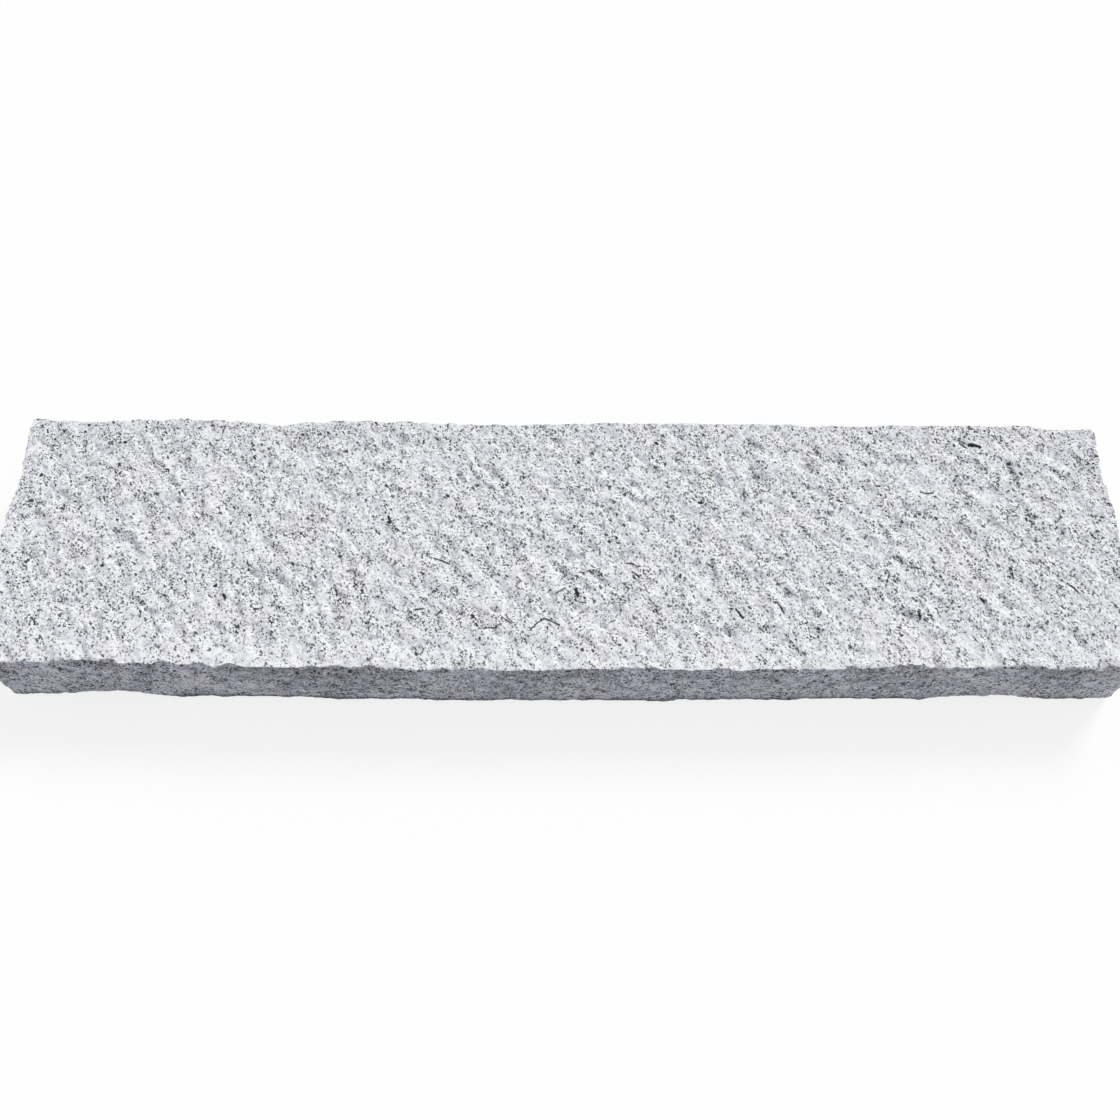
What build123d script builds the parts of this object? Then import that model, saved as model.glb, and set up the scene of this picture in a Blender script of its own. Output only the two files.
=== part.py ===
from build123d import *
import os
from math import atan2, degrees, hypot, sqrt

# Granite kerb stone: one hewn block, lying on its flat bed with the pointed face up.
# X runs along the length, Y from the front side to the back side, Z up from the bed.
# The origin is the middle of the bed, and lengths are in millimetres.

# Overall size of the block
LENGTH = 1000.0
WIDTH = 250.0
THICKNESS = 80.0

# Most that a hewn arris stands back from the overall rectangle
EDGE_PLAY = 5.0
# Blunted upright corners
CORNER_RADIUS = 5.0

# Largest flake split off an arris of the bed: its run along the arris, its bite into both sides
SPALL_WIDTH = 112.0
SPALL_REACH = 11.0
# Largest chip knocked off an arris of the pointed face
CHIP_WIDTH = 48.0
CHIP_REACH = 5.0

# Main chisel strokes on the pointed face: slant of their rows in degrees, and the steps from row to row
# and along a row
STROKE_SLANT = -55.0
ROW_STEP = 25.0
STROKE_STEP = 73.0
# Deepest stroke: a round gouge that runs in from the face and ends where the chip broke away
STROKE_LENGTH = 59.0
STROKE_WIDTH = 20.0
STROKE_DEPTH = 2.4
# How far a gouge's cutter stands above the face
CUTTER_OVERRUN = 0.4

# Outward directions of the sides, in the order of every table: front, right head, back, left head
SIDES = (Vector(0, -1, 0), Vector(1, 0, 0), Vector(0, 1, 0), Vector(-1, 0, 0))
# Half of the size that each side closes
REACHES = (WIDTH / 2, LENGTH / 2, WIDTH / 2, LENGTH / 2)
UP = Vector(0, 0, 1)

# Where each side's arris starts: shares of EDGE_PLAY that its first corner stands back,
# from the side itself and from the side before it
FACE_CORNER_SHARES = ((0.75, 0.45), (0.5, 1.0), (0.85, 0.15), (0.5, 0.15))
BED_CORNER_SHARES = ((0.9, 0.7), (0.7, 1.0), (0.4, 0.6), (0.6, 0.3))

# How each arris wanders between its corners: shares of its run, and of EDGE_PLAY that it stands back
FACE_ARRIS_SHARES = (
    ((0.11, 0.85), (0.2, 0.3), (0.32, 0.05), (0.5, 0.03), (0.62, 0.25), (0.72, 0.5), (0.89, 0.95)),
    ((0.25, 0.2), (0.5, 0.3), (0.63, 0.02), (0.8, 0.6), (0.93, 0.12)),
    ((0.08, 0.25), (0.25, 0.4), (0.4, 0.05), (0.63, 0.5), (0.69, 0.05), (0.77, 0.85), (0.85, 0.05),
     (0.94, 0.6)),
    ((0.12, 0.06), (0.26, 0.65), (0.4, 0.06), (0.6, 0.3), (0.8, 0.15)),
)
BED_ARRIS_SHARES = (
    ((0.1, 0.7), (0.24, 0.5), (0.31, 0.22), (0.42, 0.05), (0.52, 0.1), (0.67, 0.6), (0.8, 0.8), (0.93, 1.0)),
    ((0.3, 0.3), (0.55, 0.1), (0.8, 0.4)),
    ((0.2, 0.3), (0.45, 0.1), (0.6, 0.4), (0.8, 0.1)),
    ((0.25, 0.35), (0.5, 0.1), (0.75, 0.4)),
)

# Flakes lost from each arris: share of its run, then shares of the largest flake's width and reach
BED_SPALL_SHARES = (
    ((0.092, 1.0, 0.9), (0.36, 0.44, 0.36), (0.45, 0.32, 0.32), (0.51, 0.28, 0.23),
     (0.886, 1.0, 1.0), (1.0, 0.55, 0.55)),
    ((0.4, 0.4, 0.35), (0.85, 0.3, 0.3)),
    ((0.14, 0.7, 0.6), (0.38, 0.3, 0.25), (0.57, 0.9, 0.75), (0.83, 0.4, 0.4)),
    ((0.3, 0.45, 0.4), (0.66, 0.28, 0.25)),
)
FACE_CHIP_SHARES = (
    ((0.035, 0.6, 0.5), (0.07, 0.7, 0.65), (0.106, 0.8, 0.7), (0.35, 0.75, 0.55), (0.425, 0.6, 0.6),
     (0.55, 0.7, 0.5), (0.77, 0.8, 0.7), (0.815, 0.6, 0.45), (0.863, 0.7, 0.6), (0.895, 0.8, 0.8),
     (0.965, 0.9, 0.75)),
    ((0.2, 0.6, 0.5), (0.56, 0.5, 0.35)),
    ((0.03, 1.0, 0.9), (0.27, 0.6, 0.5), (0.36, 0.5, 0.4), (0.545, 0.7, 0.5), (0.67, 0.6, 0.4),
     (0.77, 0.9, 0.7), (0.885, 0.8, 0.5), (0.95, 0.7, 0.55)),
    ((0.14, 0.4, 0.3), (0.62, 0.5, 0.4), (0.9, 0.6, 0.5)),
)

# Kinds of stroke: share of the greatest depth, shares of the two steps that the stroke is shifted
# along and across its row, and degrees that it turns from the row
STROKE_SHARES = (
    (1.0, 0.0, 0.06, 3), (0.65, 0.1, -0.07, -4), (0.85, -0.08, 0.04, 5), (0.55, 0.05, 0.08, -2),
    (0.95, 0.12, -0.05, 4), (0.7, -0.1, -0.08, -5), (0.9, 0.06, 0.07, 0),
)
# How many kinds further the next row and the next stroke of a row are
ROW_TURN, STROKE_TURN = 3, 5
# Shift of each row against the row before, as a share of the step along a row
ROW_STAGGER_SHARE = 0.38


def corner(index, corner_shares, height):
    """Corner where the side at this index starts, set back from it and from the side before."""
    back_shares = corner_shares[index]
    point = UP * height
    for side, back in zip((index, index - 1), back_shares):
        point += SIDES[side] * (REACHES[side] - EDGE_PLAY * back)
    return point


def hewn_arris(index, corner_shares, arris_shares, height):
    """Wandering arris of one side, from its first corner to the next."""
    start = corner(index, corner_shares, height)
    end = corner((index + 1) % len(SIDES), corner_shares, height)
    points = [start]
    for along, back in arris_shares[index]:
        on_chord = start + (end - start) * along
        set_out = REACHES[index] - EDGE_PLAY * back - on_chord.dot(SIDES[index])
        points.append(on_chord + SIDES[index] * set_out)
    return Spline(*points, end)


def hewn_outline(corner_shares, arris_shares, height):
    """The four arrises round the block at one height."""
    return [hewn_arris(index, corner_shares, arris_shares, height) for index in range(len(SIDES))]


def striking_ball(arris, outward, along, width, reach):
    """Ball that takes a shell-shaped flake off an arris, this wide and reaching this far over both sides."""
    stand_off = ((width / 2) ** 2 - reach**2) / (sqrt(2) * reach)
    return Pos(arris @ along + outward * stand_off) * Sphere(hypot(stand_off, width / 2))


def flakes(outline, level_normal, flake_shares, width, reach):
    """Balls for all the flakes lost round one outline."""
    balls = []
    for arris, side, places in zip(outline, SIDES, flake_shares):
        outward = (side + level_normal).normalized()
        for along, width_share, reach_share in places:
            balls.append(striking_ball(arris, outward, along, width * width_share, reach * reach_share))
    return balls


def gouge(depth_share):
    """Cutter of one stroke along X, with its middle over the origin: a round nose on a tilted shaft."""
    depth = STROKE_DEPTH * depth_share
    radius = STROKE_WIDTH**2 / (8 * STROKE_DEPTH) + STROKE_DEPTH / 2
    shaft_length = 2 * STROKE_LENGTH
    nose = CenterArc((0, 0), radius, 0, 90)
    shaft = Polyline((0, radius), (-shaft_length, radius), (-shaft_length, 0), (radius, 0))
    tilt = Rot(0, degrees(atan2(depth, STROKE_LENGTH)), 0)
    cutter = Pos(STROKE_LENGTH / 2, 0, radius - depth) * tilt * revolve(make_face([nose, shaft]), Axis.X)
    below = Box(2 * shaft_length, 4 * radius, 4 * radius, align=(Align.CENTER, Align.CENTER, Align.MAX))
    return Pos(0, 0, THICKNESS) * (cutter & (Pos(0, 0, CUTTER_OVERRUN) * below))


def strokes():
    """Cutters of the strokes whose middles lie well on the face, in slanting rows."""
    gouges = [gouge(shares[0]) for shares in STROKE_SHARES]
    half_diagonal = hypot(LENGTH, WIDTH) / 2
    rows, steps = int(half_diagonal / ROW_STEP), int(half_diagonal / STROKE_STEP)
    cutters = []
    for row in range(-rows, rows + 1):
        for step in range(-steps, steps + 1):
            kind = (row * ROW_TURN + step * STROKE_TURN) % len(gouges)
            _, along_share, across_share, turn = STROKE_SHARES[kind]
            along = (step + along_share + row * ROW_STAGGER_SHARE % 1) * STROKE_STEP
            across = (row + across_share) * ROW_STEP
            place = Rot(0, 0, STROKE_SLANT) * Pos(along, across, 0)
            x, y, _ = place.position
            if abs(x) < LENGTH / 2 - STROKE_WIDTH and abs(y) < WIDTH / 2 - STROKE_WIDTH:
                cutters.append(place * Rot(0, 0, turn) * gouges[kind])
    return cutters


def kerb_stone():
    """Hewn block with blunted upright corners, less its lost flakes and the strokes on its face."""
    bed = hewn_outline(BED_CORNER_SHARES, BED_ARRIS_SHARES, 0)
    face = hewn_outline(FACE_CORNER_SHARES, FACE_ARRIS_SHARES, THICKNESS)
    block = loft([make_face(bed), make_face(face)], ruled=True)
    uprights = [edge for edge in block.edges() if edge.bounding_box().size.Z > THICKNESS / 2]
    block = fillet(uprights, CORNER_RADIUS)
    lost = flakes(bed, -UP, BED_SPALL_SHARES, SPALL_WIDTH, SPALL_REACH)
    lost += flakes(face, UP, FACE_CHIP_SHARES, CHIP_WIDTH, CHIP_REACH)
    return block - lost - strokes()


os.makedirs("parts", exist_ok=True)
export_step(kerb_stone(), "parts/kerb_stone.step")
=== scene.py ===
from math import cos, pi, radians, sin

import bpy
import numpy as np
from mathutils import Matrix, Vector, noise


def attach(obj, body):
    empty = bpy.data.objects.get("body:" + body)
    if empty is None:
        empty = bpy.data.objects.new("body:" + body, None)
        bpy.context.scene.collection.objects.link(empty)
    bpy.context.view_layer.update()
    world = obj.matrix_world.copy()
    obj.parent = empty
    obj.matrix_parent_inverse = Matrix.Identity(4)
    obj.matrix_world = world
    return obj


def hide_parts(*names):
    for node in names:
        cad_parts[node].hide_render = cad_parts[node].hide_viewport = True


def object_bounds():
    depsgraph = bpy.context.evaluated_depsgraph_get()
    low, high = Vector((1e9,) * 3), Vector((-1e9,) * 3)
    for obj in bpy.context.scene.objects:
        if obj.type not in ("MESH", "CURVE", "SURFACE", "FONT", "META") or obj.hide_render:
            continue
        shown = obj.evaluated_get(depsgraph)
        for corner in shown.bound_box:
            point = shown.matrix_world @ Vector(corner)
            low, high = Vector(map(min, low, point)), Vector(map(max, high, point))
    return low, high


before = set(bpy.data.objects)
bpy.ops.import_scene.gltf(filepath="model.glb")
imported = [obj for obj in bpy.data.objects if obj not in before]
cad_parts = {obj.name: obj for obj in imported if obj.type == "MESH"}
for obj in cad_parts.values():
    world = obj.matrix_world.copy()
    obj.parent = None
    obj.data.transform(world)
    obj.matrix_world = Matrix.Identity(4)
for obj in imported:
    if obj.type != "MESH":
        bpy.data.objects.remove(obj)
cad_low, cad_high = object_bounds()

# The stone lies along X with its front side towards -Y and its pointed face up. Lengths are in metres.
LENGTH, WIDTH, THICKNESS = cad_high - cad_low

# Camera of the photograph: its place, where it points, and its focal length in pixels of a square image
CAMERA_PLACE = Vector((-0.0084, -0.4368, 0.9181))
CAMERA_PITCH, CAMERA_YAW, CAMERA_ROLL = radians(63.638), radians(-0.713), radians(1.032)
FOCAL_PIXELS, IMAGE_PIXELS = 1061.7, 1120

# Studio light: a soft warm key lamp from behind on the right, and an even cool sky
KEY_AZIMUTH, KEY_ELEVATION, KEY_ANGLE = radians(40), radians(42), radians(20)
KEY_COLOUR, KEY_STRENGTH = (1.0, 1.0, 0.96), 2.14
SKY_COLOUR, SKY_STRENGTH = (0.915, 0.925, 1.0, 1), 0.572
# The floor: its size, its colour, its colour to light that bounces, and how much its shading is softened
FLOOR_SIZE = 12.0
FLOOR_COLOUR, FLOOR_BOUNCE_COLOUR = (0.97, 0.97, 0.97, 1), (0.45, 0.45, 0.46, 1)
FLOOR_GLOW_SHARE = 0.8
WHITE = (1, 1, 1, 1)
# Rays that see the pale floor and a white sky; all others see what lights the stone
SEEING_RAYS = ("Is Camera Ray", "Is Glossy Ray", "Is Transmission Ray")

# Mesh: the grid that the stone is carved on, and the most triangles that are kept
CARVING_GRID = 0.0016
MOST_TRIANGLES = 195_000
# Facets that meet at more than this angle keep a sharp edge
SHARP_ANGLE = radians(38)

# Pointed face, between the solid's own main strokes: lesser strokes in slanting rows.
# Lengths, widths and depths are ranges.
STROKE_ANGLE, STROKE_ANGLE_SPREAD = radians(-55), radians(16)
STROKE_LENGTH, STROKE_WIDTH, STROKE_DEPTH = (0.014, 0.036), (0.008, 0.017), (0.0003, 0.0016)
# Steps from row to row and along a row, and how far a stroke may stray, as a share of them
ROW_STEP, STROKE_STEP, STROKE_STRAY_SHARE = 0.0125, 0.024, 0.7
# How much deeper a stroke is towards its end, as a share of its depth
STROKE_SKEW_SHARE = 0.35
# Flat-broken facets between the strokes: their spacing along and across the strokes, tilt and step
FACET_SPACING, FACET_TILT, FACET_STEP = (0.021, 0.012), 0.12, 0.0004
# Cells before, at and after a place's own, in which its nearest point may lie
NEIGHBOURS = (-1, 0, 1)
# Fine scoring along the strokes: its length, the spacing of its lines, how evenly they keep it, its depth
SCORE_LENGTH, SCORE_SPACING, SCORE_EVENNESS, SCORE_DEPTH = 0.009, 0.006, 4, 0.00022
# How far the edges of strokes and facets are softened
CUT_BLUR = 0.0008
CUT_SEED, FACET_SEED, SCORE_SEED = 11, 23, 37
# Share of the face whose peaks are rubbed down to the block's own level
PEAK_SHARE = 0.04
# The depths are kept on a grid that reaches a little past the face
MAP_CELL, MAP_MARGIN = 0.001, 0.02
# Heights above the bed between which the face's relief fades in
FACE_FADE = (0.045, 0.072)
# Depths between which the solid's own strokes get bruised, and how far that spreads
GOUGE_BRUISE, GOUGE_SPREAD = (0.0002, 0.0016), 0.0015
# Keeps a cell that no vertex is near from dividing by zero
LEAST_COUNT = 1e-6
# Share of the lesser relief that is lost inside the solid's own strokes
GOUGE_CALM_SHARE = 0.35

# Roughness of the broken stone: grain size of the noise and its depth
FACE_NOISE_SIZE, FACE_NOISE_DEPTH = 0.011, 0.0011
SWELL_SIZE, SWELL_DEPTH = 0.11, 0.0003
SIDE_NOISE_SIZE, SIDE_NOISE_DEPTH = 0.016, 0.0022
# Layers of the noise, how many times finer each is than the one before, and how quickly they weaken
NOISE_OCTAVES, NOISE_REFINEMENT, NOISE_SMOOTHNESS = 4, 2.0, 0.65
# How far apart two noises are taken, so that they differ, and how many such steps each is off
NOISE_OFFSET = Vector((17.3, 5.1, 9.7))
FACE_NOISE_SEED, SWELL_SEED, SIDE_NOISE_SEED, BITE_SEED = 1, 2, 3, 4
# Bites out of the upper arris: their spacing, depth, and how far down the side they reach
BITE_SIZE, BITE_DEPTH, BITE_REACH = 0.028, 0.0043, 0.026
# The sides' inward directions, and how hard each was bitten: front, right head, back, left head
INWARD = ((0, 1), (-1, 0), (0, -1), (1, 0))
BITE_SHARES = (1.0, 0.3, 0.3, 0.3)
# Distances in from a side between which its relief fades out
SIDE_FADE = (0.004, 0.012)
# The pointing is shallower beside an arris: how far in it is felt, and the share of depth left there
EDGE_CALM, EDGE_DEPTH_SHARE = 0.03, 0.5

# Short cracks, undercut flakes and spots on the face, painted dark as their shade, listed: both ends of
# each in plan, and half its width
SHADED_CRACKS = (
    ((-0.068, -0.0855), (-0.061, -0.084), 0.0005), ((-0.061, -0.084), (-0.054, -0.0815), 0.0004),
    ((-0.054, -0.073), (-0.045, -0.0815), 0.0004), ((-0.050, -0.072), (-0.044, -0.081), 0.0003),
    ((-0.028, -0.087), (-0.0175, -0.076), 0.0006), ((-0.0175, -0.076), (-0.011, -0.078), 0.0005),
    ((-0.011, -0.078), (-0.004, -0.083), 0.0005), ((-0.006, -0.060), (-0.006, -0.0535), 0.0002),
    ((-0.006, -0.0535), (0.002, -0.0475), 0.0004), ((0.002, -0.0475), (0.006, -0.052), 0.0004),
    ((0.0105, -0.048), (0.0125, -0.055), 0.0013), ((0.014, -0.061), (0.019, -0.0625), 0.0005),
    ((-0.110, -0.074), (-0.105, -0.070), 0.0005), ((-0.105, -0.070), (-0.1085, -0.0655), 0.0003),
    ((0.056, -0.0225), (0.0685, -0.026), 0.0005), ((0.0605, -0.032), (0.066, -0.037), 0.0007),
    ((-0.114, -0.020), (-0.101, -0.0235), 0.0005), ((-0.129, -0.0685), (-0.121, -0.0675), 0.0006),
    ((0.149, -0.0665), (0.1545, -0.075), 0.0009), ((0.185, -0.0595), (0.191, -0.070), 0.0006),
    ((0.126, -0.023), (0.132, -0.0255), 0.0006), ((0.3625, -0.0555), (0.366, -0.0595), 0.0010),
    ((0.307, -0.069), (0.3085, -0.0735), 0.0008), ((0.3155, -0.071), (0.319, -0.0725), 0.0008),
    ((0.443, -0.0395), (0.450, -0.048), 0.0006), ((0.381, 0.104), (0.390, 0.101), 0.0016),
    ((0.372, 0.105), (0.3775, 0.101), 0.0009), ((0.3275, 0.052), (0.332, 0.0505), 0.0007),
    ((0.332, 0.0505), (0.3375, 0.0515), 0.0006), ((-0.304, -0.0475), (-0.303, -0.048), 0.0014),
    ((-0.294, -0.0565), (-0.293, -0.0585), 0.0012), ((-0.158, 0.0215), (-0.156, 0.016), 0.0009),
    ((-0.2835, 0.023), (-0.2825, 0.0225), 0.0011),
)


def smooth(value, low, high):
    """0 below low, 1 above high, and an even ramp with soft ends between."""
    share = np.clip((value - low) / (high - low), 0, 1)
    return share * share * (3 - 2 * share)


def fractal_at(point):
    """Broken noise at one point."""
    return noise.fractal(point, NOISE_SMOOTHNESS, NOISE_REFINEMENT, NOISE_OCTAVES)


def fractal(points, size, seed):
    """Broken noise of 0 to 1 at each point, with its largest grain of this size."""
    offset = NOISE_OFFSET * seed
    values = np.array([fractal_at(Vector(point) / size + offset) for point in points])
    return 0.5 + 0.5 * np.clip(values, -1, 1)


def map_waves(shape):
    """Waves per metre of a map's Fourier transform, across and down."""
    return np.fft.rfftfreq(shape[1], MAP_CELL)[None, :], np.fft.fftfreq(shape[0], MAP_CELL)[:, None]


def filtered(grid, kept):
    """A map with this share of each of its waves kept."""
    return np.fft.irfft2(np.fft.rfft2(grid) * kept, grid.shape)


def blurred(grid, radius):
    """A map blurred by a Gaussian of this radius in metres."""
    across, down = map_waves(grid.shape)
    return filtered(grid, np.exp(-2 * (pi * radius) ** 2 * (down**2 + across**2)))


def map_axis(low, high):
    """Cell places of a map along one axis."""
    return np.arange(low - MAP_MARGIN, high + MAP_MARGIN, MAP_CELL)


def turned(x, y, angle):
    """How far places lie along and beside a line through the origin at this angle."""
    return x * cos(angle) + y * sin(angle), y * cos(angle) - x * sin(angle)


def face_maps():
    """Depth of the face's lesser relief, and where its strokes bruised it, on a grid over the face."""
    across, down = map_axis(cad_low.x, cad_high.x), map_axis(cad_low.y, cad_high.y)
    depths, bruises = np.zeros((2, len(down), len(across)))
    for place, angle, size, force in strokes():
        cut_stroke(depths, bruises, across, down, place, angle, size, force)
    relief = blurred(depths + facets(across, down), CUT_BLUR) + scoring(depths.shape)
    relief = np.clip(relief - np.quantile(relief, PEAK_SHARE), 0, None)
    return relief, blurred(bruises, CUT_BLUR)


def strokes():
    """Place, angle, size and force of each lesser stroke, in slanting rows."""
    random = np.random.default_rng(CUT_SEED)
    reach = np.hypot(LENGTH, WIDTH) / 2
    row_count, stroke_count = int(reach / ROW_STEP), int(reach / STROKE_STEP)
    for row in range(-row_count, row_count + 1):
        for step in range(-stroke_count, stroke_count + 1):
            stray = random.uniform(-STROKE_STRAY_SHARE, STROKE_STRAY_SHARE, 2)
            angle = STROKE_ANGLE + random.normal(0, STROKE_ANGLE_SPREAD)
            size = [random.uniform(*limits) for limits in (STROKE_LENGTH, STROKE_WIDTH, STROKE_DEPTH)]
            force = random.uniform() ** 2
            x, y = turned((step + stray[0]) * STROKE_STEP, (row + stray[1]) * ROW_STEP, -STROKE_ANGLE)
            if abs(x) < LENGTH / 2 + MAP_MARGIN and abs(y) < WIDTH / 2 + MAP_MARGIN:
                yield (x, y), angle, size, force


def cut_stroke(depths, bruises, across, down, place, angle, size, force):
    """Deepens the map by one stroke, which is deeper towards its end, and bruises its bottom."""
    length, width, depth = size
    columns = slice(*np.searchsorted(across, (place[0] - length / 2, place[0] + length / 2)))
    rows = slice(*np.searchsorted(down, (place[1] - length / 2, place[1] + length / 2)))
    along, beside = turned(across[None, columns] - place[0], down[rows, None] - place[1], angle)
    along, beside = along / (length / 2), beside / (width / 2)
    hollow = np.sqrt(np.clip(1 - along**2, 0, 1)) * np.clip(1 - beside**2, 0, 1)
    cut = depth * hollow * (1 + STROKE_SKEW_SHARE * along)
    depths[rows, columns] = np.maximum(depths[rows, columns], cut)
    bruises[rows, columns] = np.maximum(bruises[rows, columns], force * hollow)


def facets(across, down):
    """Height of tilted flat patches, each round the nearest of a slanting field of random points."""
    random = np.random.default_rng(FACET_SEED)
    along, beside = turned(across[None, :], down[:, None], STROKE_ANGLE)
    along, beside = along / FACET_SPACING[0], beside / FACET_SPACING[1]
    column, row = np.floor(along).astype(int), np.floor(beside).astype(int)
    column_low, row_low = column.min() - 1, row.min() - 1
    shape = (column.max() - column_low + 2, row.max() - row_low + 2)
    middle_along, middle_beside = random.uniform(0, 1, (2, *shape))
    tilt_along, tilt_beside = random.normal(0, FACET_TILT, (2, *shape))
    step = random.uniform(0, FACET_STEP, shape)
    nearest = np.full(along.shape, np.inf)
    height = np.zeros(along.shape)
    for column_side in NEIGHBOURS:
        for row_side in NEIGHBOURS:
            cell = (column + column_side - column_low, row + row_side - row_low)
            off_along = along - (column + column_side + middle_along[cell])
            off_beside = beside - (row + row_side + middle_beside[cell])
            distance = np.hypot(off_along, off_beside)
            rise = tilt_along[cell] * off_along * FACET_SPACING[0]
            rise += tilt_beside[cell] * off_beside * FACET_SPACING[1]
            height = np.where(distance < nearest, rise + step[cell], height)
            nearest = np.minimum(nearest, distance)
    return height


def scoring(shape):
    """Fine lines along the strokes: random heights, with only the waves across the strokes kept."""
    random = np.random.default_rng(SCORE_SEED)
    along, beside = turned(*map_waves(shape), STROKE_ANGLE)
    off_spacing = np.abs(beside) * SCORE_SPACING - 1
    kept = np.exp(-((along * SCORE_LENGTH) ** 2) - SCORE_EVENNESS * off_spacing**2)
    lines = filtered(random.normal(size=shape), kept)
    return lines / lines.std() * SCORE_DEPTH


def map_places(grid, x, y):
    """Places on a map's grid, in cells across and down."""
    column = np.clip((x - cad_low.x + MAP_MARGIN) / MAP_CELL, 0, grid.shape[1] - 2)
    row = np.clip((y - cad_low.y + MAP_MARGIN) / MAP_CELL, 0, grid.shape[0] - 2)
    return column, row


def sampled(grid, x, y):
    """Values of a map at these places."""
    column, row = map_places(grid, x, y)
    left, low = column.astype(int), row.astype(int)
    right_share, high_share = column - left, row - low
    lower = grid[low, left] * (1 - right_share) + grid[low, left + 1] * right_share
    upper = grid[low + 1, left] * (1 - right_share) + grid[low + 1, left + 1] * right_share
    return lower * (1 - high_share) + upper * high_share


def gouge_map(piece, shape):
    """Where the solid's own strokes bruised the face, read from the plain block."""
    places = vertex_places(piece.data)
    on_face = places[:, 2] > cad_low.z + FACE_FADE[1]
    x, y, z = places[on_face].T
    depth_sum, count = np.zeros((2, *shape))
    column, row = (cells.astype(int) for cells in map_places(count, x, y))
    np.add.at(depth_sum, (row, column), cad_high.z - z)
    np.add.at(count, (row, column), 1)
    depth = blurred(depth_sum, GOUGE_SPREAD) / np.maximum(blurred(count, GOUGE_SPREAD), LEAST_COUNT)
    return smooth(depth, *GOUGE_BRUISE)


def with_modifier(piece, kind, **settings):
    """Applies one modifier to the piece's mesh."""
    modifier = piece.modifiers.new(kind.lower(), kind)
    for name, value in settings.items():
        setattr(modifier, name, value)
    evaluated = piece.evaluated_get(bpy.context.evaluated_depsgraph_get())
    mesh = bpy.data.meshes.new_from_object(evaluated)
    piece.modifiers.clear()
    piece.data = mesh


def vertex_places(mesh):
    """The mesh's vertices as an array of points."""
    places = np.empty(len(mesh.vertices) * 3, np.float32)
    mesh.vertices.foreach_get("co", places)
    return places.reshape(-1, 3).astype(float)


def move_vertices(mesh, places):
    """Puts the mesh's vertices at these points."""
    mesh.vertices.foreach_set("co", places.astype(np.float32).ravel())
    mesh.update()


def set_attribute(mesh, name, values):
    """Stores one number for each vertex, for the material to read."""
    layer = mesh.attributes.new(name, "FLOAT", "POINT")
    layer.data.foreach_set("value", np.asarray(values, np.float32))


def side_distances(places):
    """How far each point is in from each side: front, right head, back, left head."""
    x, y = places[:, 0], places[:, 1]
    return y - cad_low.y, cad_high.x - x, cad_high.y - y, x - cad_low.x


def carve(piece, relief_map):
    """Gives the plain block the pointed face's lesser relief, broken sides and a bitten upper arris."""
    places = vertex_places(piece.data)
    height = places[:, 2] - cad_low.z
    distances = side_distances(places)
    relief = sampled(relief_map, places[:, 0], places[:, 1])
    relief += fractal(places, FACE_NOISE_SIZE, FACE_NOISE_SEED) * FACE_NOISE_DEPTH
    relief += fractal(places, SWELL_SIZE, SWELL_SEED) * SWELL_DEPTH
    calm = smooth(np.min(distances, axis=0), 0, EDGE_CALM)
    relief *= EDGE_DEPTH_SHARE + (1 - EDGE_DEPTH_SHARE) * calm
    broken = (fractal(places, SIDE_NOISE_SIZE, SIDE_NOISE_SEED) - 0.5) * SIDE_NOISE_DEPTH
    bite = np.clip(2 * fractal(places, BITE_SIZE, BITE_SEED) - 1, 0, 1) * BITE_DEPTH
    bite *= smooth(height, THICKNESS - BITE_REACH, THICKNESS)
    moved = places.copy()
    moved[:, 2] -= relief * smooth(height, *FACE_FADE)
    for distance, inward, bite_share in zip(distances, INWARD, BITE_SHARES):
        push = (broken + bite * bite_share) * (1 - smooth(distance, *SIDE_FADE))
        moved[:, :2] += push[:, None] * inward
    move_vertices(piece.data, moved)


# Where the looks change: slope of the dressed face's edge, its distance from the sides and its height,
# the width of the pale margin along the front and of the greyer rim along the other sides,
# and the height of the dark painted shade along the foot, where the stone meets the floor
DRESSED_SLOPE, DRESSED_INSET, DRESSED_HEIGHT = (0.72, 0.9), (0.006, 0.012), (0.04, 0.064)
MARGIN_WIDTH, RIM_WIDTH, FOOT_SHADE_HEIGHT = 0.05, 0.028, 0.0125


def mark_looks(piece, bruise_map):
    """Stores where the stone is dressed and bruised, its front margin and rim, and the foot that gets
    painted shade.
    """
    places = vertex_places(piece.data)
    x, y, height = places[:, 0], places[:, 1], places[:, 2] - cad_low.z
    normals = np.empty(len(places) * 3, np.float32)
    piece.data.vertices.foreach_get("normal", normals)
    facing_up = smooth(normals.reshape(-1, 3)[:, 2], *DRESSED_SLOPE)
    front, *others = side_distances(places)
    inside = smooth(np.minimum(front, np.min(others, axis=0)), *DRESSED_INSET)
    dressed = smooth(height, *DRESSED_HEIGHT) * np.maximum(facing_up, inside)
    set_attribute(piece.data, "dressed", dressed)
    set_attribute(piece.data, "bruise", sampled(bruise_map, x, y))
    set_attribute(piece.data, "margin", (1 - smooth(front, 0, MARGIN_WIDTH)) * dressed)
    set_attribute(piece.data, "rim", (1 - smooth(np.min(others, axis=0), 0, RIM_WIDTH)) * dressed)
    # Painted shade along the foot, fading out upwards
    set_attribute(piece.data, "foot", 1 - smooth(height, 0, FOOT_SHADE_HEIGHT))


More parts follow.
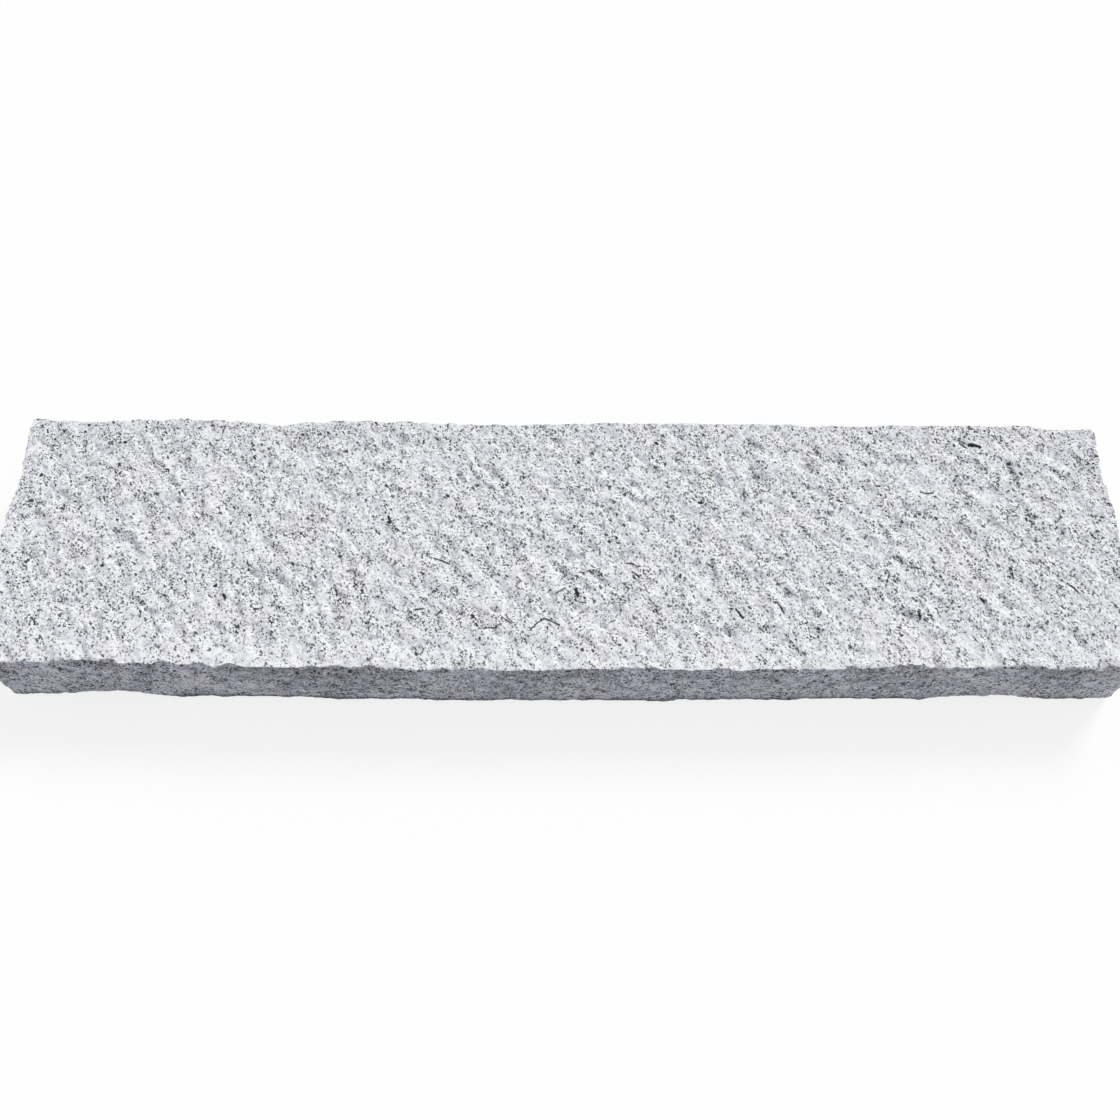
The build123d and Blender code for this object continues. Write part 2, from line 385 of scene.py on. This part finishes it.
class Tree:
    """Short calls that add nodes to a new material or world."""

    def __init__(self, owner):
        self.owner = owner
        self.owner.use_nodes = True
        self.nodes = self.owner.node_tree.nodes
        self.nodes.clear()

    def add(self, kind, inputs=None, **settings):
        """A node with these settings; each input is a value or another node's output."""
        node = self.nodes.new("ShaderNode" + kind)
        for name, value in settings.items():
            setattr(node, name, value)
        for name, value in (inputs or {}).items():
            if isinstance(value, bpy.types.NodeSocket):
                self.owner.node_tree.links.new(value, node.inputs[name])
            else:
                node.inputs[name].default_value = value
        return node

    def math(self, operation, first, second, clamp=False):
        """The result of a sum."""
        node = self.add("Math", {0: first, 1: second}, operation=operation, use_clamp=clamp)
        return node.outputs[0]

    def vector(self, operation, first, second):
        """The result of a sum of vectors, which is a vector or a number."""
        node = self.add("VectorMath", {0: first, 1: second}, operation=operation)
        return node.outputs["Value" if operation in ("DOT_PRODUCT", "DISTANCE") else "Vector"]

    def scaled(self, vector, factor):
        """A vector made longer or shorter."""
        return self.add("VectorMath", {0: vector, "Scale": factor}, operation="SCALE").outputs[0]

    def ramp(self, value, low, high, to_low=0.0, to_high=1.0):
        """A value taken from one range to another, without leaving it."""
        inputs = {"Value": value, "From Min": low, "From Max": high, "To Min": to_low, "To Max": to_high}
        return self.add("MapRange", inputs).outputs[0]

    def between(self, share, at_none, at_all):
        """One value where a share is 0, another where it is 1, and an even change between."""
        return self.ramp(share, 0.0, 1.0, at_none, at_all)

    def product(self, first, *others):
        """Several values multiplied."""
        for other in others:
            first = self.math("MULTIPLY", first, other)
        return first

    def mix(self, share, first, second, blend="MIX"):
        """One colour laid over another."""
        node = self.add("Mix", {0: share, 6: first, 7: second}, data_type="RGBA", blend_type=blend)
        return node.outputs[2]

    def attribute(self, name):
        """A number that the mesh holds."""
        return self.add("Attribute", attribute_name=name).outputs["Fac"]

    def noise(self, place, scale, detail, roughness):
        """Smooth noise of 0 to 1."""
        inputs = {"Vector": place, "Scale": scale, "Detail": detail, "Roughness": roughness}
        return self.add("TexNoise", inputs).outputs["Fac"]

    def patches(self, place, noise_settings, ramp_settings):
        """Noise taken from one range to another."""
        return self.ramp(self.noise(place, *noise_settings), *ramp_settings)

    def seen(self):
        """1 for the rays that see the background, and 0 for the light that bounces."""
        outputs = self.add("LightPath").outputs
        first, *others = (outputs[ray] for ray in SEEING_RAYS)
        for other in others:
            first = self.math("MAXIMUM", first, other)
        return first

    def cells(self, place, scale):
        """Random red, green and blue of each grain, and the distance from its middle."""
        node = self.add("TexVoronoi", {"Vector": place, "Scale": scale})
        parts = self.add("SeparateColor", {0: node.outputs["Color"]})
        return (*parts.outputs, node.outputs["Distance"])

    def colour_ramp(self, value, stops):
        """A colour for each stretch of a value."""
        node = self.add("ValToRGB", {0: value})
        elements = node.color_ramp.elements
        while len(elements) < len(stops):
            elements.new(1.0)
        for element, (position, colour) in zip(elements, stops):
            element.position = position
            element.color = colour
        return node.outputs[0]


# Minerals, as plain colours, and where each lies on the ramp that colours the mosaic of grains
DARK_QUARTZ, QUARTZ = (0.43, 0.435, 0.455, 1), (0.6, 0.605, 0.63, 1)
FELDSPAR, PALE_FELDSPAR = (0.83, 0.83, 0.845, 1), (0.91, 0.91, 0.92, 1)
MINERAL_STOPS = ((0.0, DARK_QUARTZ), (0.25, QUARTZ), (0.42, FELDSPAR), (1.0, PALE_FELDSPAR))
# The last of these is painted shade: the dark in small cracks and under flakes
BIOTITE, BRUISED, CRACK_SHADE = (0.03, 0.03, 0.033, 1), (0.885, 0.885, 0.9, 1), (0.02, 0.02, 0.022, 1)
# Tints that multiply the face and the hewn sides: most of it, then pink and greenish patches. The sides'
# tints hold their darker hewn tone and a bluish painted shade; last, the tint of the painted shade at the
# foot
FACE_TINTS = (0.98, 0.985, 0.99, 1), (1.01, 0.985, 0.988, 1), (0.975, 0.987, 0.96, 1)
SIDE_TONE_AND_SHADE_TINTS = (0.9, 0.9, 0.95, 1), (0.94, 0.9, 0.95, 1), (0.82, 0.87, 0.85, 1)
FOOT_SHADE_TINT = (0.25, 0.27, 0.23, 1)
# Upward part of a normal where the foot's painted shade is still off, as on the bed, and where it is full
BED_SLOPE = -0.95, -0.7
# No place is paler than this
PALEST = (0.92, 0.92, 0.93, 1)
# Grains in a metre: the mosaic, the flakes of three sizes, and the noise that ruffles their outlines
MOSAIC_GRAINS, LARGE_FLAKES, FLAKES, SPECKS, RUFFLES = 560.0, 320.0, 470.0, 680.0, 500.0
# How far that noise shifts places, its detail, and its middle
RUFFLE_SHIFT, RUFFLE_DETAIL, NOISE_MIDDLE = 0.0018, 2.0, (0.5, 0.5, 0.5)
# How much taller than wide the grains are
GRAIN_HEIGHT = 1.35
# What lies in a direction: its angle, and how much longer it is that way
LARGE_FLAKE_LIE, FLAKE_LIE, PATCH_LIE = (radians(-20), 1.5), (radians(-50), 1.9), (STROKE_ANGLE, 2.2)
RIDGE_LIE, STREAK_LIE = (STROKE_ANGLE, 1.7), (0.0, 1.3)
# Waves in a metre of the noise that bends the cracks, and how far it shifts them
CRACK_BENDS, CRACK_SHIFT = 90.0, 0.005
# How far outside a crack's outline its painted shade starts, and how far inside it is full
CRACK_EDGE = (0.0005, -0.0002)
# More than the distance from any place to a crack
FAR_OFF = 1.0

# Noises of the looks, as waves in a metre, detail and roughness, each with the range of noise that is read
# and, where it isn't 0 to 1, the range it is taken to
EDGE_NOISE, EDGE_RAMP = (220.0, 3.0, 0.7), (0.3, 0.7, -0.15, 0.15)
BRUISE_NOISE, BRUISE_RAMP = (100.0, 4.0, 0.6), (0.42, 0.68, 0.0, 0.62)
CLUSTER_NOISE, CLUSTER_RAMP = (90.0, 3.0, 0.6), (0.35, 0.66, 0.11, 0.44)
STRING_NOISE, STRING_RAMP = (150.0, 2.0, 0.5), (0.38, 0.62, 0.4, 1.7)
TINT_NOISE, TINT_RAMP = (24.0, 4.0, 0.6), (0.54, 0.64)
MOTTLE_NOISE, MOTTLE_RAMP = (120.0, 4.0, 0.65), (0.35, 0.65, 0.69, 1.38)
ZONE_NOISE, ZONE_RAMP = (14.0, 2.0, 0.5), (0.35, 0.65, 0.84, 1.18)
RIDGE_NOISE = (260.0, 4.0, 0.7)
# Places that the pink and the greenish patches' noise is shifted by
TINT_OFFSETS = (0, 0, 0), (3, 5, 7)
# The sides are painted lighter low down and darker upwards, as shade: shares of the thickness where that
# starts and ends, and the factors there
UPPER_SHARES, UPPER_SHADE_FACTORS = (0.2, 0.97), (1.12, 0.78)
# Where the face's mask turns from the hewn sides to the dressed face
DRESSED_EDGE = (0.45, 0.55)
# How far bruising pales the grains, what strokes and the front margin add to it, and what the rims take off
PALING_SHARE, STRUCK_SHARE, MARGIN_SHARE, RIM_SHARE = 0.6, 0.3, 0.35, 0.2
# Factors of the black flakes' amount and opacity: on the sides and the face, and in sound and bruised stone
FACE_AMOUNT, BRUISED_AMOUNT = (1.15, 1.0), (1.05, 0.5)
FACE_OPACITY, BRUISED_OPACITY = (0.88, 1.0), (1.0, 0.64)
# Shares of that amount for each size of flake: the large ones have one on the sides and one on the face
SPECK_SHARE, FLAKE_SHARE, LARGE_FLAKE_SHARES = 1.04, 0.7, (0.3, 0.04)
# Usual radius of specks and flakes in grains, the least and greatest as shares of it, and the soft edge
SPECK_RADIUS, FLAKE_RADIUS, RADIUS_SHARES, FLAKE_EDGE = 0.6, 0.45, (0.6, 1.3), (-0.05, 0.05)
# Fine relief: the grains' share of it, its strength and its height
MOSAIC_SHARE, BUMP_STRENGTH, BUMP_HEIGHT = 0.25, 0.8, 0.0014
# Roughness from quartz to feldspar, and the specular level of both
ROUGHNESS_RAMP, SPECULAR_LEVEL = (0.0, 0.4, 0.7, 0.92), 0.3


def granite():
    """Speckled light granite: feldspar, quartz and biotite, bruised pale by the chisel, and cracked, with
    the cracks' shade painted dark.
    """
    tree = Tree(bpy.data.materials.new("speckled_granite"))
    place = tree.add("TexCoord").outputs["Object"]
    grains = ruffled(tree, tree.vector("DIVIDE", place, (1, 1, GRAIN_HEIGHT)), RUFFLES, RUFFLE_SHIFT)
    bent = ruffled(tree, grains, CRACK_BENDS, CRACK_SHIFT)
    dressed = dressed_mask(tree, grains)

    mosaic, _, _, mosaic_distance = tree.cells(grains, MOSAIC_GRAINS)
    colour = tree.colour_ramp(mosaic, MINERAL_STOPS)
    bruise = bruising(tree, grains, dressed)
    colour = tree.mix(tree.product(bruise, PALING_SHARE), colour, BRUISED)
    colour = with_biotite(tree, colour, grains, dressed, bruise)
    # Painted shade: the cracks are coloured dark on the dressed face
    colour = tree.mix(tree.product(crack_shade_mask(tree, bent), dressed), colour, CRACK_SHADE)
    colour = tinted(tree, colour, place, dressed)

    ridges = tree.noise(lying(tree, grains, RIDGE_LIE), *RIDGE_NOISE)
    relief = tree.math("ADD", ridges, tree.product(mosaic_distance, MOSAIC_SHARE))
    bump = tree.add("Bump", {"Height": relief, "Strength": BUMP_STRENGTH, "Distance": BUMP_HEIGHT})
    inputs = {
        "Base Color": colour,
        "Roughness": tree.ramp(mosaic, *ROUGHNESS_RAMP),
        "Specular IOR Level": SPECULAR_LEVEL,
        "Normal": bump.outputs[0],
    }
    shader = tree.add("BsdfPrincipled", inputs)
    tree.add("OutputMaterial", {"Surface": shader.outputs[0]})
    return tree.owner


def ruffled(tree, place, waves, reach):
    """Places shifted a little by noise, so that what is drawn with them gets uneven outlines."""
    wobble = tree.add("TexNoise", {"Vector": place, "Scale": waves, "Detail": RUFFLE_DETAIL})
    shift = tree.scaled(tree.vector("SUBTRACT", wobble.outputs["Color"], NOISE_MIDDLE), reach)
    return tree.vector("ADD", place, shift)


def lying(tree, place, lie):
    """Places squeezed in one direction, so that what is drawn with them lies along it."""
    angle, stretch = lie
    mapping = {"Vector": place, "Rotation": (0, 0, angle), "Scale": (stretch, 1, 1)}
    return tree.add("Mapping", mapping, vector_type="TEXTURE").outputs[0]


def dressed_mask(tree, grains):
    """1 on the dressed face and 0 on the hewn sides, with an uneven line between."""
    wobble = tree.patches(grains, EDGE_NOISE, EDGE_RAMP)
    return tree.ramp(tree.math("ADD", tree.attribute("dressed"), wobble), *DRESSED_EDGE)


def bruising(tree, grains, dressed):
    """How far the grains are paled: by the chisel crushing them in patches and in its strokes, more along
    the front margin and less along the rims.
    """
    patches = tree.patches(lying(tree, grains, PATCH_LIE), BRUISE_NOISE, BRUISE_RAMP)
    struck = tree.product(tree.attribute("bruise"), STRUCK_SHARE)
    margin = tree.product(tree.attribute("margin"), MARGIN_SHARE)
    bruise = tree.math("ADD", tree.math("ADD", patches, struck), margin)
    bruise = tree.math("SUBTRACT", bruise, tree.product(tree.attribute("rim"), RIM_SHARE))
    return tree.math("MULTIPLY", bruise, dressed, clamp=True)


def with_biotite(tree, colour, grains, dressed, bruise):
    """Colour with black flakes of three sizes in clusters, more on the sides and fewer where bruised."""
    clusters = tree.patches(lying(tree, grains, PATCH_LIE), CLUSTER_NOISE, CLUSTER_RAMP)
    strings = tree.patches(grains, STRING_NOISE, STRING_RAMP)
    by_face, by_bruise = tree.between(dressed, *FACE_AMOUNT), tree.between(bruise, *BRUISED_AMOUNT)
    amount = tree.product(clusters, strings, by_face, by_bruise)
    opacity = tree.product(tree.between(bruise, *BRUISED_OPACITY), tree.between(dressed, *FACE_OPACITY))
    large_share = tree.between(dressed, *LARGE_FLAKE_SHARES)
    sizes = (
        (grains, SPECKS, SPECK_SHARE, SPECK_RADIUS),
        (lying(tree, grains, FLAKE_LIE), FLAKES, FLAKE_SHARE, FLAKE_RADIUS),
        (lying(tree, grains, LARGE_FLAKE_LIE), LARGE_FLAKES, large_share, FLAKE_RADIUS),
    )
    for place, scale, share, radius in sizes:
        flakes = flake_mask(tree, place, scale, tree.product(amount, share), radius)
        colour = tree.mix(tree.product(flakes, opacity), colour, BIOTITE)
    return colour


def flake_mask(tree, place, scale, amount, radius):
    """1 in the flakes that a share of all grains is made of, most of them small, and 0 between them."""
    size, chance, _, distance = tree.cells(place, scale)
    chosen = tree.math("LESS_THAN", chance, amount)
    reach = tree.between(tree.product(size, size), *(radius * share for share in RADIUS_SHARES))
    return tree.product(chosen, tree.ramp(tree.math("SUBTRACT", reach, distance), *FLAKE_EDGE))


def crack_shade_mask(tree, place):
    """1 within the cracks, where their shade is painted, measured in plan from the line between each
    crack's ends.
    """
    level = tree.vector("MULTIPLY", place, (1, 1, 0))
    clearance = FAR_OFF
    for start, end, half_width in SHADED_CRACKS:
        start, end = Vector((*start, 0)), Vector((*end, 0))
        run = end - start
        offset = tree.vector("SUBTRACT", level, start)
        along = tree.vector("DOT_PRODUCT", offset, run / run.length_squared)
        share = tree.math("ADD", along, 0.0, clamp=True)
        distance = tree.vector("DISTANCE", offset, tree.scaled(run, share))
        clearance = tree.math("MINIMUM", clearance, tree.math("SUBTRACT", distance, half_width))
    return tree.ramp(clearance, *CRACK_EDGE)


def tinted(tree, colour, place, dressed):
    """Colour with pink and greenish patches, stronger and mottled on the sides, which also get a bluish
    painted shade and painted shading that darkens upwards, and painted dark shade at the foot.
    """
    pink, green = (
        tree.patches(tree.vector("ADD", place, offset), TINT_NOISE, TINT_RAMP) for offset in TINT_OFFSETS
    )
    # The sides' tints: their darker hewn tone, with a bluish tint that is painted shade
    face, side = (
        tree.mix(green, tree.mix(pink, plain_tint, pink_tint), green_tint)
        for plain_tint, pink_tint, green_tint in (FACE_TINTS, SIDE_TONE_AND_SHADE_TINTS)
    )
    mottle = tree.patches(lying(tree, place, STREAK_LIE), MOTTLE_NOISE, MOTTLE_RAMP)
    height = tree.add("SeparateXYZ", {0: place}).outputs[2]
    # Painted shading: the sides lighter low down and darker upwards
    upper = tree.ramp(height, *(share * THICKNESS for share in UPPER_SHARES), *UPPER_SHADE_FACTORS)
    zone = tree.patches(place, ZONE_NOISE, ZONE_RAMP)
    side = tree.scaled(side, tree.product(mottle, upper, zone))
    normal = tree.add("NewGeometry").outputs["True Normal"]
    off_bed = tree.ramp(tree.add("SeparateXYZ", {0: normal}).outputs[2], *BED_SLOPE)
    # Painted shade at the foot of the sides, kept off the bed
    side = tree.mix(tree.product(tree.attribute("foot"), off_bed), side, FOOT_SHADE_TINT)
    colour = tree.mix(1.0, colour, tree.mix(dressed, side, face), "MULTIPLY")
    return tree.mix(1.0, colour, PALEST, "DARKEN")


def kerb_stone():
    """The carved stone, which stands for the plain CAD block."""
    piece = bpy.data.objects.new("carved_kerb_stone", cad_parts["kerb_stone"].data.copy())
    bpy.context.scene.collection.objects.link(piece)
    with_modifier(piece, "REMESH", mode="VOXEL", voxel_size=CARVING_GRID)
    relief_map, bruise_map = face_maps()
    gouges = gouge_map(piece, bruise_map.shape)
    carve(piece, relief_map * (1 - GOUGE_CALM_SHARE * gouges))
    triangles = sum(len(face.vertices) - 2 for face in piece.data.polygons)
    with_modifier(piece, "DECIMATE", ratio=MOST_TRIANGLES / triangles)
    move_vertices(piece.data, np.clip(vertex_places(piece.data), cad_low, cad_high))
    mark_looks(piece, np.maximum(bruise_map, gouges))
    piece.data.shade_smooth()
    piece.data.set_sharp_from_angle(angle=SHARP_ANGLE)
    piece.data.materials.clear()
    piece.data.materials.append(granite())
    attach(piece, "root")
    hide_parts("kerb_stone")


def floor_material():
    """Pale to the camera, with a softened shadow, and darker to the light that bounces off it."""
    tree = Tree(bpy.data.materials.new("pale_floor"))
    seen = tree.seen()
    colour = tree.mix(seen, FLOOR_BOUNCE_COLOUR, FLOOR_COLOUR)
    matte = tree.add("BsdfDiffuse", {"Color": colour})
    glow = tree.add("Emission", {"Color": WHITE})
    share = tree.product(seen, FLOOR_GLOW_SHARE)
    shader = tree.add("MixShader", {0: share, 1: matte.outputs[0], 2: glow.outputs[0]})
    tree.add("OutputMaterial", {"Surface": shader.outputs[0]})
    return tree.owner


def pale_floor():
    """Pale floor in the plane of the bed."""
    bpy.ops.mesh.primitive_plane_add(size=FLOOR_SIZE, location=(0, 0, cad_low.z))
    floor = bpy.context.object
    floor.name = "floor"
    floor.data.materials.append(floor_material())


def key_lamp():
    """Soft key lamp."""
    lamp = bpy.data.lights.new("key_lamp", "SUN")
    lamp.color = KEY_COLOUR
    lamp.energy = KEY_STRENGTH
    lamp.angle = KEY_ANGLE
    key = bpy.data.objects.new("key_lamp", lamp)
    key.rotation_euler = (0, pi / 2 - KEY_ELEVATION, pi / 2 - KEY_AZIMUTH)
    bpy.context.scene.collection.objects.link(key)


def even_sky():
    """Even sky, which is white to the rays that see the background."""
    tree = Tree(bpy.data.worlds.new("even_sky"))
    even = tree.add("Background", {"Color": SKY_COLOUR, "Strength": SKY_STRENGTH})
    white = tree.add("Background", {"Color": WHITE})
    shader = tree.add("MixShader", {0: tree.seen(), 1: even.outputs[0], 2: white.outputs[0]})
    tree.add("OutputWorld", {"Surface": shader.outputs[0]})
    bpy.context.scene.world = tree.owner


def camera():
    """The photograph's camera."""
    level_right = Vector((cos(CAMERA_YAW), sin(CAMERA_YAW), 0))
    level_ahead = Vector((-sin(CAMERA_YAW), cos(CAMERA_YAW), 0))
    up = Vector((0, 0, 1))
    ahead = level_ahead * cos(CAMERA_PITCH) - up * sin(CAMERA_PITCH)
    tilted_up = level_ahead * sin(CAMERA_PITCH) + up * cos(CAMERA_PITCH)
    right = level_right * cos(CAMERA_ROLL) + tilted_up * sin(CAMERA_ROLL)
    top = tilted_up * cos(CAMERA_ROLL) - level_right * sin(CAMERA_ROLL)
    data = bpy.data.cameras.new("photo_camera")
    data.lens = data.sensor_width * FOCAL_PIXELS / IMAGE_PIXELS
    eye = bpy.data.objects.new("photo_camera", data)
    turn = Matrix((right, top, -ahead)).transposed().to_4x4()
    eye.matrix_world = Matrix.Translation(CAMERA_PLACE) @ turn
    bpy.context.scene.collection.objects.link(eye)
    bpy.context.scene.camera = eye


kerb_stone()
pale_floor()
key_lamp()
even_sky()
camera()
bpy.context.scene.view_settings.view_transform = "Standard"
